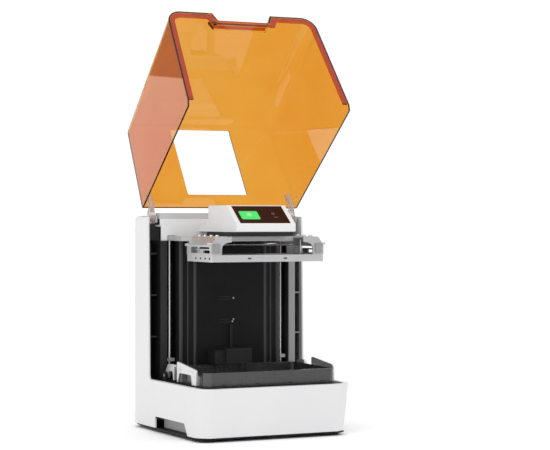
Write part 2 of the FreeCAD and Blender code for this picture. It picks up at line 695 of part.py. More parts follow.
console = Piece("console_shell")
console.pad("YZ", -d.console_half, d.console_half,
            [(beam_face, console_low), (console_y, console_low, 3), (console_y, console_lip, 2),
             (slope_y, console_top, 3), (top_y, console_top, 6), (top_y, console_seam),
             (neck_y, console_seam), (neck_y, console_neck), (beam_face, console_neck)])
skin = 2.4
console.pocket("YZ", skin - d.console_half, d.console_half - skin,
               [(beam_face - skin, console_low), (console_y + skin, console_low),
                (console_y + skin, console_lip - 1), on_slope(4, skin + 3),
                on_slope(slope_long - 2, skin + 3), (slope_y + 4, console_top - skin),
                (top_y - skin, console_top - skin), (top_y - skin, console_seam - skin),
                (neck_y - skin, console_seam - skin), (neck_y - skin, console_neck - skin),
                (beam_face - skin, console_neck - skin)])
glass_start = (slope_long - d.display_long) / 2
glass_end = glass_start + d.display_long
console.pocket("YZ", -d.display_wide / 2 - 0.2, d.display_wide / 2 + 0.2,
               [on_slope(glass_start - 0.2, -2), on_slope(glass_start - 0.2, d.display_thick),
                on_slope(glass_end + 0.2, d.display_thick), on_slope(glass_end + 0.2, -2)])
Piece("display_glass").pad("YZ", -d.display_wide / 2, d.display_wide / 2,
                           [on_slope(glass_start, 0), on_slope(glass_start, d.display_thick),
                            on_slope(glass_end, d.display_thick), on_slope(glass_end, 0)])
block("console_floor", 2 - d.console_half, d.console_half - 2, console_y + 3, column_y - 29,
      console_low - d.console_floor, console_low, 3)

# ---------------------------------------------------------------- vat
vat_half = d.vat_width / 2


def vat_plan(inset):
    return rectangle(inset - vat_half, vat_half - inset, inset - d.vat_front, d.vat_rear - inset,
                     d.vat_corner - inset)


mouth = rectangle(-screen_width / 2, screen_width / 2, -d.screen_depth / 2,
                  d.screen_depth / 2, 6)
Piece("film_frame").pad("XY", deck_z, film_low, vat_plan(0),
                        rectangle(-screen_width / 2 - 2, screen_width / 2 + 2,
                                  -d.screen_depth / 2 - 2, d.screen_depth / 2 + 2, 4))
block("release_film", -screen_width / 2 - d.film_margin + 2, screen_width / 2 + d.film_margin - 2,
      -d.screen_depth / 2 - d.film_margin + 2, d.screen_depth / 2 + d.film_margin - 2,
      film_low, film_top, 6)
vat = Piece("resin_vat")
vat.pad("XY", film_top, vat_top, vat_plan(0))
vat.pocket("XY", film_top + 3, vat_top, vat_plan(d.vat_wall))
vat.pocket("XY", film_top, film_top + 3, mouth)

# Silver wings at the sides of the vat: an arched sheet on two webs.
wing_x = vat_half + d.wing_gap
for side, hand in SIDES:
    wing = Piece(f"vat_wing_{hand}")
    low = deck_z + 2
    arch = [(d.wing_rear, low), (d.wing_rear, deck_z + d.wing_rear_top, 5),
            (-d.wing_front, deck_z + d.wing_front_top, 6), (-d.wing_front, low),
            (19 - d.wing_front, low), (22 - d.wing_front, low + d.wing_window, 5),
            (d.wing_rear - 12, low + d.wing_window, 5), (d.wing_rear - 5, low)]
    wing.pad("YZ", *spread(side, wing_x, wing_x + d.wing_thick), arch)
    for y in (4 - d.wing_front, d.wing_rear - 4.5):
        wing.pad("XY", low, low + 16, rectangle(*spread(side, vat_half, wing_x + 1), y, y + 3))

# Latches behind the wings: each turns on a pin in a mount on the deck.
pin_z = deck_z + 9
latch_x = vat_half + 1.5
for side, hand in SIDES:
    mount_x = latch_x + d.latch_thick + d.gap
    mount = block(f"latch_mount_{hand}", *spread(side, mount_x, mount_x + 5),
                  d.latch_rear - 6, d.latch_rear + 6, deck_z, pin_z + 6)
    mount.pocket("YZ", *spread(side, mount_x, mount_x + 5),
                 Disc(d.latch_rear, pin_z, d.latch_pin + d.fit))
    toe_y = d.latch_rear - d.latch_reach
    latch = Piece(f"vat_latch_{hand}")
    latch.pad("YZ", *spread(side, latch_x, latch_x + d.latch_thick),
              [(d.latch_rear + 5, pin_z - 5, 3), (d.latch_rear + 5, pin_z + 10, 6),
               (d.latch_rear - 6, deck_z + d.latch_high, 6), (toe_y, deck_z + d.latch_high + 2, 5),
               (toe_y, deck_z + 3), (toe_y + 5, deck_z + 3),
               (toe_y + 7, deck_z + d.latch_high - 11, 5),
               (d.latch_rear - 10, deck_z + d.latch_high - 13, 5), (d.latch_rear - 5, pin_z - 5, 3)])
    latch.pad("YZ", *spread(side, latch_x + 1, mount_x + 5), Disc(d.latch_rear, pin_z, d.latch_pin))

# ---------------------------------------------------------------- level sensor
sensor_y = column_y - d.sensor_front
sensor = Piece("sensor_box")
sensor.pad("YZ", -d.sensor_half, d.sensor_half,
           [(d.vat_rear + 2, deck_z), (d.vat_rear + 2, d.sensor_low), (sensor_y, d.sensor_low),
            (sensor_y, d.sensor_top, 2), (panel_y, d.sensor_top), (panel_y, deck_z)])
sensor.pad("YZ", -d.sensor_half - 21, -d.sensor_half,
           [(sensor_y + 5, d.sensor_low), (sensor_y + 5, d.sensor_top - 3),
            (panel_y, d.sensor_top - 3), (panel_y, d.sensor_low)])
sensor.pad("XY", d.sensor_top, d.sensor_top + 42, rectangle(-2, 2, panel_y - 4, panel_y))
for x in (-d.sensor_half - 9, d.sensor_half - 9):
    sensor.pad("XY", film_top + 5, d.sensor_low, Disc(x, sensor_y + 8, d.probe_radius))

# ---------------------------------------------------------------- build plate group
plate_half, plate_y = d.plate_width / 2, d.plate_depth / 2
plate_top = plate_low + d.plate_thick
plate = block("build_plate", -plate_half, plate_half, -plate_y, plate_y, plate_low, plate_top, 3)
head_z = arm_low + d.yoke_high
rear_bar = (plate_y - 3.5, plate_top + 17)
front_bar = (3.5 - plate_y, plate_top + 19.5)
for side, hand in SIDES:
    bracket = Piece(f"plate_bracket_{hand}")
    foot_end = plate_half - d.bracket_foot
    head_end = plate_half - d.bracket_head
    profile = [(plate_half, plate_top), (plate_half, head_z - 15, 3), (plate_half - 11, head_z, 6),
               (head_end, head_z), (head_end, arm_low - 1), (foot_end, arm_low - 4, 12),
               (foot_end, plate_top)]
    bracket.pad("XZ", -plate_y, plate_y, [(side * p[0], *p[1:]) for p in profile])
    inside = [(plate_half - d.bracket_wall, plate_top),
              (plate_half - d.bracket_wall, head_z - 16, 3),
              (plate_half - 12, head_z - d.bracket_wall, 5), (head_end, head_z - d.bracket_wall),
              (head_end, arm_low - 1), (foot_end, arm_low - 4, 12), (foot_end, plate_top)]
    bracket.pocket("XZ", d.bracket_wall - plate_y, plate_y - d.bracket_wall,
                   [(side * p[0], *p[1:]) for p in inside])
    window = [(plate_y - 16, plate_top + 3, 2), (plate_y - 22, plate_top + 14, 2),
              (9 - plate_y, plate_top + 14, 2), (4.5 - plate_y, plate_top + 3, 2)]
    bracket.pocket("YZ", *spread(side, plate_half - d.bracket_wall, plate_half), window)
    for y, z in (rear_bar, front_bar):
        bracket.pocket("YZ", *spread(side, head_end - 1, plate_half), Disc(y, z, d.bar_radius + 0.02))
rod("hanger_bar", "YZ", *rear_bar, d.bar_radius, -d.bar_half, d.bar_half)
for side, hand in SIDES:
    rod(f"hanger_pin_{hand}", "YZ", *front_bar, d.bar_radius,
        *spread(side, plate_half - 20, d.bar_half))
block("yoke", d.bracket_head - plate_half, plate_half - d.bracket_head, -16, 16, arm_low, head_z, 2)

# Release levers: a thumb pad on the front of each bracket, hinged along its lower edge.
lever_y = -plate_y - 1 - d.lever_thick / 2
lever_z = plate_top + 4
for side, hand in SIDES:
    lever = Piece(f"release_lever_{hand}")
    lever.pad("YZ", *spread(side, plate_half - 17, plate_half - 4),
              [(lever_y - d.lever_thick / 2, lever_z),
               (lever_y - d.lever_thick / 2, lever_z + d.lever_high, 0.6),
               (lever_y + d.lever_thick / 2, lever_z + d.lever_high, 0.6),
               (lever_y + d.lever_thick / 2, lever_z)])
    lever.pad("YZ", *spread(side, plate_half - 17, plate_half - 4),
              Disc(lever_y, lever_z, d.lever_thick / 2))

# Carriage: two blocks on the shafts, a crossbeam with the nut, and the arms.
carriage_top = arm_low + d.carriage_high
block_y = column_y + 4
carriage = Piece("carriage")
carriage.pad("XY", arm_low, carriage_top,
             [(-d.shaft_spread - arm_half, block_y), (-d.shaft_spread + arm_half, block_y),
              (-d.shaft_spread + arm_half, shaft_y + 3), (d.shaft_spread - arm_half, shaft_y + 3),
              (d.shaft_spread - arm_half, block_y), (d.shaft_spread + arm_half, block_y),
              (d.shaft_spread + arm_half, frame_y - 2), (-d.shaft_spread - arm_half, frame_y - 2)])
for side, _ in SIDES:
    x = side * d.shaft_spread
    carriage.pad("XY", arm_low, head_z,
                 rectangle(x - arm_half, x + arm_half, plate_y + 0.5, block_y + 1))
    carriage.pad("XY", arm_low, head_z,
                 rectangle(*spread(side, plate_half - 11, d.shaft_spread), plate_y, plate_y + 12))
    carriage.pocket("XY", arm_low, carriage_top, Disc(x, shaft_y, d.shaft_radius + d.fit))
carriage.pocket("XY", arm_low, carriage_top, Disc(0, screw_y, d.screw_radius + d.fit))

# ---------------------------------------------------------------- lid
# Drawn closed, then turned open about the hinge pins.
lid_low = d.base_top + d.gap
lid_rear_low = column_y - d.lid_gap
lid_rear_top = lid_rear_low + d.column_lean
lid_front_low = -d.base_front
lid_front_top = lid_front_low + d.lid_front_rake
front_slope = d.lid_front_rake / (roof_front - lid_low)
roof_slope = (roof_rear - roof_front) / (lid_rear_top - lid_front_top)
lid_half = half + d.lid_overhang


def roof(y, depth=0):
    """Height of the closed lid's roof at y, depth below its outer face."""
    return roof_rear - roof_slope * (lid_rear_top - y) - depth


def lid_block(label, inset):
    """The lid's outer form (inset 0) or the space inside it (inset = wall)."""
    past_edge = number(inset) > 0
    low = lid_low - (5 if past_edge else 0)
    reach = 20 if past_edge else 0
    front_low, front_top = lid_front_low + inset, lid_front_top + inset
    piece = Piece(label, keep=False)
    piece.pad("YZ", inset - lid_half, lid_half - inset,
              [(lid_rear_low + reach, low), (lid_rear_top + reach, roof(lid_rear_top + reach, inset)),
               (front_top, roof(front_top, inset)),
               (front_low - (lid_low - low) * front_slope, low)])
    # The lower rear corner clears the rounding between the base rim and the column.
    piece.pocket("YZ", inset - lid_half, lid_half - inset,
                 [(lid_rear_low - d.junction, lid_low), (lid_rear_low + reach + 5, lid_low - 6),
                  (lid_rear_low + reach + 5, lid_low + (reach + d.junction + 5) / 2)])
    past = lid_front_low - 30
    narrow = lid_half - inset - side_slope * (column_y - past)
    for side, _ in SIDES:
        piece.pocket("XY", low - 1, roof_rear + 5,
                     [(side * (lid_half - inset), column_y), (side * (lid_half + 5), column_y),
                      (side * (lid_half + 5), past), (side * narrow, past)])
    mid_x = lid_half - inset - side_slope * (column_y - front_low)
    mid_z = (lid_low + roof_front) / 2
    mid_y = (front_low + front_top) / 2
    piece.soften(d.lid_corner - inset, (mid_x, mid_y, mid_z), (-mid_x, mid_y, mid_z))
    # The brow: a band along the front and the roof, whose inner corner is rounded.
    band, run = 8, 60
    piece.pocket("YZ", -lid_half, lid_half,
                 [(front_top - run * front_slope, roof(front_top, inset) - run),
                  (front_top, roof(front_top, inset), d.lid_brow - inset),
                  (front_top + run, roof(front_top + run, inset)),
                  (front_top + run, roof(front_top + run, inset) + band),
                  (front_top - band, roof(front_top, inset) + band),
                  (front_top - run * front_slope - band, roof(front_top, inset) - run)])
    scoop_y = front_low + d.scoop_deep
    out = d.scoop_half + inset
    piece.pocket("XY", low, lid_low + d.scoop_high + inset,
                 [(-out - 8, lid_front_low - 5), (out + 8, lid_front_low - 5),
                  (out + 8, front_low), (out, scoop_y, 3), (-out, scoop_y, 3),
                  (-out - 8, front_low)])
    return piece.body


outer_lid = lid_block("lid_outer", length(0))
inner_lid = lid_block("lid_inner", d.lid_wall)
console_hole = block("console_hole", -d.window_half, d.window_half, column_y - d.window_front,
                     column_y - d.window_rear, roof_front - 12, roof_rear + 5, 3, keep=False)
lid_shell = boolean("Cut", "lid_shell", outer_lid, inner_lid, console_hole.body)
pieces.append(lid_shell)

# Flange inside the lower edge, following the walls and the scoop.
flange = Piece("lid_flange")


def flange_plan(inset, scoop_inset, back):
    front = lid_front_low + inset + 1
    wide = lid_half - inset - side_slope * (column_y - back)
    narrow = lid_half - inset - side_slope * (column_y - front)
    out, scoop_y = d.scoop_half + inset, lid_front_low + scoop_inset + 1 + d.scoop_deep
    corner = d.lid_corner - inset
    return [(-wide, back), (-narrow, front, corner), (-out - 8, front), (-out, scoop_y),
            (out, scoop_y), (out + 8, front), (narrow, front, corner), (wide, back)]


flange.pad("XY", lid_low, lid_low + 3,
           flange_plan(d.lid_wall + 0.4, d.lid_wall + 0.4, lid_rear_low - 12))
flange.pocket("XY", lid_low, lid_low + 3,
              flange_plan(d.lid_wall + d.lid_flange, d.lid_wall + d.scoop_flange, lid_rear_low))

# Hinge: arms under the lid's roof, turning on the pins of two brackets in the column.
boss = d.hinge_pin + 5.5
arm_end = column_y - 25
hinge_outer = d.hinge_inner + d.hinge_thick
cheek_in, cheek_out = d.hinge_inner - d.gap - 4, hinge_outer + d.gap + 3
for side, hand in SIDES:
    arm = rod(f"hinge_arm_{hand}", "YZ", pivot_y, pivot_high, boss,
              *spread(side, d.hinge_inner, hinge_outer))
    arm.pad("YZ", *spread(side, d.hinge_inner, hinge_outer),
            [(pivot_y, pivot_high + boss - 0.5), (pivot_y - 15, pivot_high + 3),
             (lid_rear_top + 2, roof(lid_rear_top, d.lid_wall + 0.1)),
             (arm_end, roof(arm_end, d.lid_wall + 0.1)), (arm_end, roof(arm_end, d.lid_wall + 7), 2),
             (column_y - 4, roof(column_y, d.lid_wall + 11), 6), (pivot_y, pivot_high - boss + 0.5)])
    arm.pocket("YZ", *spread(side, d.hinge_inner, hinge_outer),
               Disc(pivot_y, pivot_high, d.hinge_pin + d.fit))
    bracket = block(f"hinge_bracket_{hand}", *spread(side, cheek_in, cheek_out),
                    pivot_y - 7, hinge_rear - 0.5, pivot_high - 7, pivot_high + 5)
    bracket.pocket("XY", pivot_high - 7, pivot_high + 5,
                   rectangle(*spread(side, d.hinge_inner - d.gap, hinge_outer + d.gap),
                             pivot_y - 7, hinge_rear - 5))
    bracket.pad("YZ", *spread(side, cheek_in, cheek_out),
                Disc(pivot_y, pivot_high, d.hinge_pin))

# ---------------------------------------------------------------- resting positions
pivot = Vector(0, number(pivot_y), number(pivot_high))
open_lid = Placement(Vector(), Rotation(Vector(1, 0, 0), -number(d.lid_open)), pivot)
for body in pieces:
    if body.Label in ("lid_shell", "lid_flange", "hinge_arm_left", "hinge_arm_right"):
        body.Placement = open_lid
rocker_pivot = Vector(number(rocker_x), number(rear_y - 8), number(port_z))
rocker.body.Placement = Placement(Vector(), Rotation(Vector(1, 0, 0), 6), rocker_pivot)
doc.recompute()
front_y = casing.body.Shape.optimalBoundingBox().YMin
back_y = lid_shell.Shape.optimalBoundingBox().YMax
to_origin = Placement(Vector(0, -(front_y + back_y) / 2, 0), Rotation())
for body in pieces:
    body.Placement = to_origin.multiply(body.Placement)
doc.recompute()

# ---------------------------------------------------------------- check and write
failed = [o.Label for o in doc.Objects if {"Invalid", "Error"} & set(o.State)]
if failed:
    raise RuntimeError(f"failed objects: {failed}")
for body in pieces:
    if body.Shape.isNull() or not body.Shape.isValid() or len(body.Shape.Solids) != 1:
        raise RuntimeError(f"bad shape: {body.Label}")
os.makedirs("parts", exist_ok=True)
for body in pieces:
    body.Shape.exportStep(f"parts/{body.Label}.step")
print(f"{len(pieces)} pieces, travel {travel.number:.1f}, build axis at Y {to_origin.Base.y:.3f}")
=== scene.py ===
# Looks of a desktop resin printer with a hinged orange lid: the room, then each group of
# pieces in the order it is put together, with its finish and the small parts CAD leaves out.
import json
import math

import bmesh
import bpy
import numpy as np
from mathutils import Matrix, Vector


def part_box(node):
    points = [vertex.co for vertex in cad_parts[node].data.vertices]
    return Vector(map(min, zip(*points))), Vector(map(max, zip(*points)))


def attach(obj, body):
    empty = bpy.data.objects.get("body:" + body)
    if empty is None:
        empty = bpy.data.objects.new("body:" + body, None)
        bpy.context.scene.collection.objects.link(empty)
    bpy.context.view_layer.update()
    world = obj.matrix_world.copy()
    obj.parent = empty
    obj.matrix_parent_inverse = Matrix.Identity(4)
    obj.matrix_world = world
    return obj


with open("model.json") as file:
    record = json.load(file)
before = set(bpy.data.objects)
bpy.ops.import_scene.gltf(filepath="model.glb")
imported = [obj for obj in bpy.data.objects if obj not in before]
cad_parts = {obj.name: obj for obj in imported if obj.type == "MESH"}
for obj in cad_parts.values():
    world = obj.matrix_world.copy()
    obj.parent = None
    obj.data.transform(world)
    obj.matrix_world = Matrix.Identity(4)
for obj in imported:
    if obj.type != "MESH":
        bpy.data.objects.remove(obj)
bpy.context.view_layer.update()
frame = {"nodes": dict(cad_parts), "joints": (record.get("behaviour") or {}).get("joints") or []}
MM = 0.001


# ---- Room and camera ------------------------------------------------------------------
# A pale seamless floor under an even white sky, two soft lamps, and a long lens level with
# the top of the column.  Three grey flags, seen only in reflections, give gloss its edges.
class Socket:
    """The output of a shader node; each arithmetic operator on it adds one Math node."""

    def __init__(self, finish, output):
        self.finish, self.output = finish, output

    def maths(self, operation, left, right=0.0):
        return self.finish.node("Math", {"operation": operation}, {0: left, 1: right})

    def __add__(self, other):
        return self.maths("ADD", self, other)

    def __radd__(self, other):
        return self.maths("ADD", other, self)

    def __sub__(self, other):
        return self.maths("SUBTRACT", self, other)

    def __rsub__(self, other):
        return self.maths("SUBTRACT", other, self)

    def __mul__(self, other):
        return self.maths("MULTIPLY", self, other)

    def __rmul__(self, other):
        return self.maths("MULTIPLY", other, self)

    def __gt__(self, other):
        return self.maths("GREATER_THAN", self, other)

    def __lt__(self, other):
        return self.maths("LESS_THAN", self, other)

    def wave(self):
        """Sine of the value."""
        return self.maths("SINE", self)

    def ramp(self, low, high):
        """0 below low, 1 above high, and a straight line between."""
        return self.finish.node("MapRange", {"clamp": True}, {0: self, 1: low, 2: high})


class Finish:
    """One material: a Principled shader, with any other node added by node()."""

    def __init__(self, name, colour, roughness, **more):
        self.material = bpy.data.materials.new(name)
        self.material.use_nodes = True
        self.tree = self.material.node_tree
        self.shader = self.tree.nodes["Principled BSDF"]
        self.plug(self.shader, "Base Color", (*colour, 1))
        self.plug(self.shader, "Roughness", roughness)
        for words, value in more.items():
            self.plug(self.shader, words.replace("_", " "), value)

    def plug(self, node, socket, value):
        """A link where the value is a Socket, and a plain setting where it isn't."""
        if isinstance(value, Socket):
            self.tree.links.new(value.output, node.inputs[socket])
        else:
            node.inputs[socket].default_value = value

    def node(self, kind, settings=None, inputs=None, output=0):
        made = self.tree.nodes.new("ShaderNode" + kind)
        for name, value in (settings or {}).items():
            setattr(made, name, value)
        for name, value in (inputs or {}).items():
            self.plug(made, name, value)
        return Socket(self, made.outputs[output])

    def place(self):
        """Object coordinates, in metres."""
        return self.node("TexCoord", output="Object")

    def noise(self, scale, detail=3.0, stretch=(1, 1, 1)):
        """Smooth random values from 0 to 1, scale of them to the metre, drawn out by stretch."""
        where = self.node("Mapping", {"vector_type": "POINT"}, {0: self.place(), 3: stretch})
        return self.node("TexNoise", None, {"Vector": where, "Scale": scale, "Detail": detail})

    def mix(self, factor, one, other):
        """Colour one where factor is 0, and other where it is 1."""
        ends = {0: factor, 6: one, 7: other}
        for socket, colour in list(ends.items())[1:]:
            if not isinstance(colour, Socket):
                ends[socket] = (*colour, 1)
        return self.node("Mix", {"data_type": "RGBA"}, ends, 2)

    def relief(self, height, depth, rounding=0.0):
        """Bump of that height map, depth in metres, over edges softened by rounding."""
        inputs = {"Height": height, "Distance": depth, "Strength": 1.0}
        if rounding:
            inputs["Normal"] = self.node("Bevel", {"samples": 4}, {"Radius": rounding})
        self.plug(self.shader, "Normal", self.node("Bump", None, inputs))

    def drift(self, one, other, scale):
        """Base colour that wanders slowly between two shades."""
        self.plug(self.shader, "Base Color", self.mix(self.noise(scale).ramp(0.3, 0.7), one, other))

    def worn(self, low, high, scale, stretch=(1, 1, 1)):
        """Roughness that wanders between two values."""
        drawn = self.noise(scale, 4.0, stretch)
        self.plug(self.shader, "Roughness", low + (high - low) * drawn)

    def dress(self, *nodes):
        """Gives this finish to CAD nodes, which keep their mesh."""
        for name in nodes:
            mesh = frame["nodes"][name].data
            mesh.materials.clear()
            mesh.materials.append(self.material)


def add_mesh(name, points, faces, finish=None, crease=math.radians(35)):
    """An object at the origin with these points in metres; doubles are merged, faces turned
    outwards, and edges sharper than crease stay sharp."""
    mesh = bpy.data.meshes.new(name)
    mesh.from_pydata(np.asarray(points, float).tolist(), [], np.asarray(faces).tolist())
    work = bmesh.new()
    work.from_mesh(mesh)
    bmesh.ops.remove_doubles(work, verts=work.verts, dist=2e-6)
    bmesh.ops.dissolve_degenerate(work, edges=work.edges, dist=1e-7)
    bmesh.ops.recalc_face_normals(work, faces=work.faces)
    work.to_mesh(mesh)
    work.free()
    mesh.shade_smooth()
    mesh.set_sharp_from_angle(angle=crease)
    if finish:
        mesh.materials.append(finish.material)
    made = bpy.data.objects.new(name, mesh)
    bpy.context.scene.collection.objects.link(made)
    return made


def backdrop(name, corners, finish):
    """A flat four-cornered sheet that isn't part of the object."""
    made = add_mesh(name, corners, [[0, 1, 2, 3]], finish)
    return made


def lamp(name, place, aim, size, power):
    """A soft square lamp of that size in metres, turned to face aim."""
    light = bpy.data.lights.new(name, "AREA")
    light.size, light.energy = size, power
    made = bpy.data.objects.new(name, light)
    made.location = place
    turn = np.array(aim, float) - np.array(place, float)
    flat = math.hypot(turn[0], turn[1])
    made.rotation_euler = (math.atan2(flat, -turn[2]), 0, math.atan2(-turn[0], turn[1]))
    bpy.context.scene.collection.objects.link(made)


floor_paint = Finish("floor_paint", (0.94, 0.94, 0.94), 0.9)
floor_paint.drift((0.94, 0.94, 0.94), (0.93, 0.93, 0.93), 1.5)
FLOOR_HALF = 60
backdrop("floor", [(x, y, 0) for x, y in ((-FLOOR_HALF, -FLOOR_HALF), (FLOOR_HALF, -FLOOR_HALF),
                                          (FLOOR_HALF, FLOOR_HALF), (-FLOOR_HALF, FLOOR_HALF))],
         floor_paint)
flag_cloth = Finish("flag_cloth", (0.2, 0.2, 0.2), 0.9)
for flag_name, flag_corners in (
        ("flag_left",
         [(-3.2, 1.1, 0.84), (-0.5, 2.5, 0.92), (-0.5, 2.5, 3.0), (-3.2, 1.1, 3.0)]),
        ("flag_front",
         [(-0.2, -2.5, 0.02), (2.4, -1.3, 0.02), (2.4, -1.3, 0.9), (-0.2, -2.5, 0.9)]),
        ("flag_right",
         [(2.2, -1.6, 0.2), (2.9, 0.4, 0.2), (2.9, 0.4, 1.8), (2.2, -1.6, 1.8)])):
    flag = backdrop(flag_name, flag_corners, flag_cloth)
    flag.visible_camera = flag.visible_diffuse = flag.visible_shadow = False

SKY_STRENGTH = 1.09
sky = bpy.data.worlds.new("white_sky")
sky.use_nodes = True
sky.node_tree.nodes["Background"].inputs[0].default_value = (1, 1, 1, 1)
sky.node_tree.nodes["Background"].inputs[1].default_value = SKY_STRENGTH
bpy.context.scene.world = sky
bpy.context.scene.view_settings.view_transform = "Standard"
lamp("key_lamp", (-1.6, -1.5, 1.9), (0, 0, 0.3), 1.2, 14)
lamp("fill_lamp", (1.9, -1.2, 1.2), (0, 0, 0.3), 1.4, 5)

CAMERA_PLACE = (-1.2925, -2.9246, 0.3895)
CAMERA_YAW, CAMERA_PITCH = math.radians(25.09), math.radians(-0.21)
LENS_MM, SENSOR_MM, FAR_CLIP = 113.1, 36, 200
eye = bpy.data.cameras.new("eye")
eye.lens, eye.sensor_width, eye.clip_end = LENS_MM, SENSOR_MM, FAR_CLIP
camera = bpy.data.objects.new("eye", eye)
camera.location = CAMERA_PLACE
camera.rotation_euler = (math.pi / 2 + CAMERA_PITCH, 0, -CAMERA_YAW)
bpy.context.scene.collection.objects.link(camera)
bpy.context.scene.camera = camera


# ---- Casing, beam and console shell ---------------------------------------------------
# White ABS mouldings with a fine sparked grain and softly rounded edges: the base with its
# two uprights, the beam across the top and the console that hangs over the chamber.
WHITE = (0.69, 0.69, 0.695)
white_shell = Finish("white_shell", WHITE, 0.4, Coat_Weight=0.08, Coat_Roughness=0.25)
white_shell.drift(WHITE, (0.665, 0.665, 0.675), 7)
white_shell.worn(0.34, 0.48, 60)
white_shell.relief(white_shell.noise(1800, 2.0), 0.00004, rounding=0.0009)
white_shell.dress("outer_casing", "top_beam", "console_shell")


def ring(radius, count=24):
    """Circle: radius times (cos, sin) of the angle."""
    angle = np.arange(count) * 2 * math.pi / count
    return radius * np.stack([np.cos(angle), np.sin(angle)], 1)


def hexagon(radius, count=24):
    """Hexagon: across-corner radius times cos 30 over cos(angle within a sixth minus 30)."""
    angle = np.arange(count) * 2 * math.pi / count
    within = np.mod(angle, math.pi / 3) - math.pi / 6
    reach = radius * math.cos(math.pi / 6) / np.cos(within)
    return reach[:, None] * np.stack([np.cos(angle), np.sin(angle)], 1)


def rounded(half_u, half_v, radius, count=24):
    """Rectangle with round corners: each corner's centre plus radius times (cos, sin)."""
    angle = (np.arange(count) + 0.5) * 2 * math.pi / count
    way = np.stack([np.cos(angle), np.sin(angle)], 1)
    return np.sign(way) * (np.array([half_u, half_v]) - radius) + radius * way


def frame_of(axis):
    """Two directions square to axis and to each other, the first as level as it can be."""
    axis = np.array(axis, float) / np.linalg.norm(axis)
    level = np.array([0, 0, 1.0]) if abs(axis[2]) < 0.9 else np.array([0, 1.0, 0])
    right = np.cross(level, axis)
    right /= np.linalg.norm(right)
    return right, np.cross(axis, right), axis


def stack(levels, centre, axis):
    """Solid of outlines at rising heights along axis, closed by a fan at both ends: a point
    is centre + u right + v up + height axis.  All sizes in millimetres."""
    right, up, out = frame_of(axis)
    first, last = levels[0], levels[-1]
    levels = [(first[0] * 0 + first[0].mean(0), first[1]), *levels,
              (last[0] * 0 + last[0].mean(0), last[1])]
    count = len(levels[0][0])
    grid = np.array([[np.outer(o[:, 0], right) + np.outer(o[:, 1], up) + h * out]
                     for o, h in levels]).reshape(-1, 3)
    row = np.arange(count)
    lower = (np.arange(len(levels) - 1)[:, None] * count + row).ravel()
    nextone = (np.arange(len(levels) - 1)[:, None] * count + (row + 1) % count).ravel()
    faces = np.stack([lower, nextone, nextone + count, lower + count], 1)
    return (grid + np.array(centre, float)) * MM, faces


def piece(name, solids, finish, body):
    """One object made of several solids, riding on a body."""
    points, faces, start = [], [], 0
    for these, their_faces in solids:
        points.append(these)
        faces.append(their_faces + start)
        start += len(these)
    made = add_mesh(name, np.concatenate(points), np.concatenate(faces), finish)
    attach(made, body)
    return made


def cap_screw(centre, axis, radius, high=None):
    """Socket-head screw: a chamfered cylinder with a hexagonal well in its top."""
    high = high or radius * 0.9
    return stack([(ring(radius), -0.3), (ring(radius), high * 0.8), (ring(radius * 0.88), high),
                  (ring(radius * 0.6), high), (hexagon(radius * 0.56), high * 0.97),
                  (hexagon(radius * 0.54), high * 0.4)], centre, axis)


def pan_screw(centre, axis, radius):
    """Low domed screw: rings shrinking as they rise, with a small square-cornered well."""
    return stack([(ring(radius), -0.3), (ring(radius), radius * 0.15),
                  (ring(radius * 0.85), radius * 0.4), (ring(radius * 0.55), radius * 0.5),
                  (rounded(radius * 0.4, radius * 0.4, radius * 0.08), radius * 0.5),
                  (rounded(radius * 0.3, radius * 0.3, radius * 0.06), radius * 0.15)],
                 centre, axis)


def slab(half_u, half_v, radius, thick, centre, axis, edge=0.3):
    """Flat plate with round corners and a small chamfer on its outer face."""
    outline = rounded(half_u, half_v, radius)
    inner = rounded(half_u - edge, half_v - edge, max(radius - edge, 0.05))
    return stack([(outline, 0), (outline, thick - edge), (inner, thick)], centre, axis)


# ---- Feet and grips --------------------------------------------------------------------
# Soft black rubber feet with a fine grain, and finger cups in the sides; the pan is coated
# with the sheet metal below.
foot_rubber = Finish("foot_rubber", (0.028, 0.028, 0.029), 0.8)
foot_rubber.drift((0.028, 0.028, 0.029), (0.04, 0.04, 0.041), 90)
foot_rubber.relief(foot_rubber.noise(900, 4.0), 0.0001, rounding=0.0006)
foot_rubber.dress("foot_front_left", "foot_front_right", "foot_rear_left", "foot_rear_right")
grip_plastic = Finish("grip_plastic", (0.42, 0.42, 0.43), 0.55)
grip_plastic.drift((0.42, 0.42, 0.43), (0.36, 0.36, 0.37), 25)
grip_plastic.relief(grip_plastic.noise(1500, 2.0), 0.00006, rounding=0.0008)
grip_plastic.dress("grip_insert_left", "grip_insert_right")

# ---- Sheet metal: pan, deck, rear panel, back panel, column frame -----------------------
# Mild steel sheet, folded and powder coated black; the coat shows a fine orange peel.
dark_sheet = Finish("dark_sheet", (0.006, 0.006, 0.0062), 0.5, Specular_IOR_Level=0.15)
dark_sheet.drift((0.005, 0.005, 0.0052), (0.009, 0.009, 0.0092), 12)
dark_sheet.worn(0.42, 0.6, 45)
dark_sheet.relief(dark_sheet.noise(700, 3.0), 0.00008, rounding=0.0006)
dark_sheet.dress("base_pan", "top_deck", "rear_panel", "back_panel", "column_frame")

steel_black = Finish("steel_black", (0.05, 0.05, 0.052), 0.3, Metallic=0.9)
steel_black.worn(0.24, 0.42, 500)
screw_zinc = Finish("screw_zinc", (0.62, 0.62, 0.61), 0.28, Metallic=1.0)
screw_zinc.worn(0.2, 0.42, 700)


def box_mm(node):
    """Lowest and highest corners of a CAD node, in millimetres."""
    return np.array([list(corner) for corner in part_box(node)]) / MM


# ---- Rear panel details -----------------------------------------------------------------
# A finger guard of bent wire over the fan, on four hoops and four spokes, and domed screws
# at the panel's corners and round the guard.
rear_low, rear_high = box_mm("rear_panel")
fan_low, fan_high = box_mm("fan_rotor")
fan_x, fan_z = (fan_low[0] + fan_high[0]) / 2, (fan_low[2] + fan_high[2]) / 2
guard_y = rear_high[1] - 1.2


